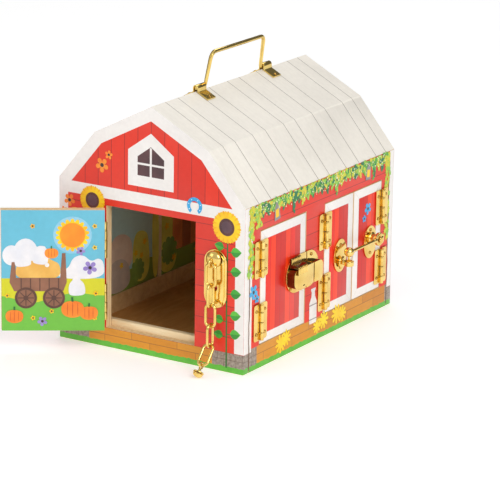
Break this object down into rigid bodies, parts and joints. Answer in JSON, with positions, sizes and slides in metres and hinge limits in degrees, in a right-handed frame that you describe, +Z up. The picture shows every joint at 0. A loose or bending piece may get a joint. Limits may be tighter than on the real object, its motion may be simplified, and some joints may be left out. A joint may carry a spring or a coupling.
{
  "type": "toy barn",
  "caption": "Wooden toy barn with a gambrel roof, hinged doors held by small latches, a safety chain and a fold-down carrying handle.",
  "frame": {"origin": "middle of the house's rectangular footprint, on the surface that it stands on", "axes": "+Z up; -Y out of the front gable with the single doorway; +X out of the wall with the single door and the stable doors"},
  "size_m": [0.2267, 0.3138, 0.2538],
  "materials": {
    "red_painted_wood": "satin red paint on plywood, raw inside",
    "white_painted_wood": "satin off-white paint on plywood",
    "bare_plywood": "bare sanded plywood",
    "polished_brass": "polished"
  },
  "bodies": {
    "house": {"floor_panel": "bare_plywood", "front_wall": "red_painted_wood", "back_wall": "red_painted_wood", "right_wall": "red_painted_wood", "left_wall": "red_painted_wood", "threshold_strip": "bare_plywood", "roof_lower_right": "white_painted_wood", "roof_upper_right": "white_painted_wood", "roof_upper_left": "white_painted_wood", "roof_lower_left": "white_painted_wood", "handle_bracket_front": "polished_brass", "handle_bracket_back": "polished_brass", "chain_guard_plate": "polished_brass", "latch_keeper": "polished_brass", "front_door_lower_hinge_wall_leaf": "polished_brass", "front_door_upper_hinge_wall_leaf": "polished_brass", "side_door_lower_hinge_wall_leaf": "polished_brass", "side_door_upper_hinge_wall_leaf": "polished_brass", "stable_door_front_lower_hinge_wall_leaf": "polished_brass", "stable_door_front_upper_hinge_wall_leaf": "polished_brass", "stable_door_rear_lower_hinge_wall_leaf": "polished_brass", "stable_door_rear_upper_hinge_wall_leaf": "polished_brass", "left_door_front_lower_hinge_wall_leaf": "polished_brass", "left_door_front_upper_hinge_wall_leaf": "polished_brass", "left_door_rear_lower_hinge_wall_leaf": "polished_brass", "left_door_rear_upper_hinge_wall_leaf": "polished_brass"},
    "front_door": {"front_door": "red_painted_wood", "front_door_lower_hinge_door_leaf": "polished_brass", "front_door_upper_hinge_door_leaf": "polished_brass", "chain_track": "polished_brass"},
    "side_door": {"side_door": "red_painted_wood", "side_door_lower_hinge_door_leaf": "polished_brass", "side_door_upper_hinge_door_leaf": "polished_brass", "latch_case": "polished_brass"},
    "stable_door_front": {"stable_door_front": "red_painted_wood", "stable_door_front_lower_hinge_door_leaf": "polished_brass", "stable_door_front_upper_hinge_door_leaf": "polished_brass", "hook_eye_plate": "polished_brass"},
    "stable_door_rear": {"stable_door_rear": "red_painted_wood", "stable_door_rear_lower_hinge_door_leaf": "polished_brass", "stable_door_rear_upper_hinge_door_leaf": "polished_brass", "hook_pivot_plate": "polished_brass"},
    "left_door_front": {"left_door_front": "red_painted_wood", "left_door_front_lower_hinge_door_leaf": "polished_brass", "left_door_front_upper_hinge_door_leaf": "polished_brass", "bolt_keeper": "polished_brass"},
    "left_door_rear": {"left_door_rear": "red_painted_wood", "left_door_rear_lower_hinge_door_leaf": "polished_brass", "left_door_rear_upper_hinge_door_leaf": "polished_brass", "bolt_barrel": "polished_brass"},
    "latch_bolt": {"latch_bolt": "polished_brass"},
    "hook": {"hook_bar": "polished_brass"},
    "barrel_bolt_rod": {"bolt_rod": "polished_brass"},
    "handle": {"handle_bail": "polished_brass"},
    "chain_link_1": {"chain_link_1": "polished_brass"},
    "chain_link_2": {"chain_link_2": "polished_brass"},
    "chain_link_3": {"chain_link_3": "polished_brass"},
    "chain_link_4": {"chain_link_4": "polished_brass"},
    "chain_link_5": {"chain_link_5": "polished_brass"},
    "chain_knob": {"chain_knob": "polished_brass"}
  },
  "joints": [
    {"name": "front_door_swing", "type": "hinge", "parent": "house", "child": "front_door", "pos_m": [-0.0451, -0.1283, 0.07225], "axis": [0, 0, 1], "range_deg": [-20, 145]},
    {"name": "side_door_swing", "type": "hinge", "parent": "house", "child": "side_door", "pos_m": [0.0973, -0.1011, 0.071], "axis": [0, 0, -1], "range_deg": [0, 150]},
    {"name": "stable_door_front_swing", "type": "hinge", "parent": "house", "child": "stable_door_front", "pos_m": [0.0973, 0.0049, 0.071], "axis": [0, 0, -1], "range_deg": [0, 120]},
    {"name": "stable_door_rear_swing", "type": "hinge", "parent": "house", "child": "stable_door_rear", "pos_m": [0.0973, 0.1041, 0.071], "axis": [0, 0, 1], "range_deg": [0, 120]},
    {"name": "left_door_front_swing", "type": "hinge", "parent": "house", "child": "left_door_front", "pos_m": [-0.0973, -0.0666, 0.071], "axis": [0, 0, 1], "range_deg": [0, 120]},
    {"name": "left_door_rear_swing", "type": "hinge", "parent": "house", "child": "left_door_rear", "pos_m": [-0.0973, 0.1006, 0.071], "axis": [0, 0, -1], "range_deg": [0, 120]},
    {"name": "latch_bolt_slide", "type": "slide", "parent": "side_door", "child": "latch_bolt", "axis": [0, 1, 0], "range_m": [0, 0.006]},
    {"name": "hook_turn", "type": "hinge", "parent": "stable_door_rear", "child": "hook", "pos_m": [0.105, 0.08402, 0.07247], "axis": [-1, 0, 0], "range_deg": [-3, 95]},
    {"name": "barrel_bolt_slide", "type": "slide", "parent": "left_door_rear", "child": "barrel_bolt_rod", "axis": [0, -1, 0], "range_m": [0, 0.0065]},
    {"name": "handle_swing", "type": "hinge", "parent": "house", "child": "handle", "pos_m": [0, 0.0025, 0.223], "axis": [0, 1, 0], "range_deg": [-121, 102]},
    {"name": "chain_link_1_swing", "type": "hinge", "parent": "house", "child": "chain_link_1", "pos_m": [0.0668, -0.1345, 0.09546], "axis": [-1, 0, 0], "range_deg": [0, 90]},
    {"name": "chain_link_2_swing", "type": "hinge", "parent": "chain_link_1", "child": "chain_link_2", "pos_m": [0.0668, -0.1345, 0.07546], "axis": [-1, 0, 0], "range_deg": [0, 35]},
    {"name": "chain_link_3_swing", "type": "hinge", "parent": "chain_link_2", "child": "chain_link_3", "pos_m": [0.0668, -0.1345, 0.06026], "axis": [-1, 0, 0], "range_deg": [0, 35]},
    {"name": "chain_link_4_swing", "type": "hinge", "parent": "chain_link_3", "child": "chain_link_4", "pos_m": [0.0668, -0.1345, 0.04026], "axis": [-1, 0, 0], "range_deg": [0, 35]},
    {"name": "chain_link_5_swing", "type": "hinge", "parent": "chain_link_4", "child": "chain_link_5", "pos_m": [0.0668, -0.1345, 0.02506], "axis": [-1, 0, 0], "range_deg": [0, 30]},
    {"name": "chain_knob_swing", "type": "hinge", "parent": "chain_link_5", "child": "chain_knob", "pos_m": [0.0668, -0.14736, 0.00974], "axis": [-1, 0, 0], "range_deg": [0, 30]}
  ],
  "couplings": [
    {"joint": "stable_door_front_swing", "follows": "stable_door_rear_swing", "ratio": 1}
  ]
}
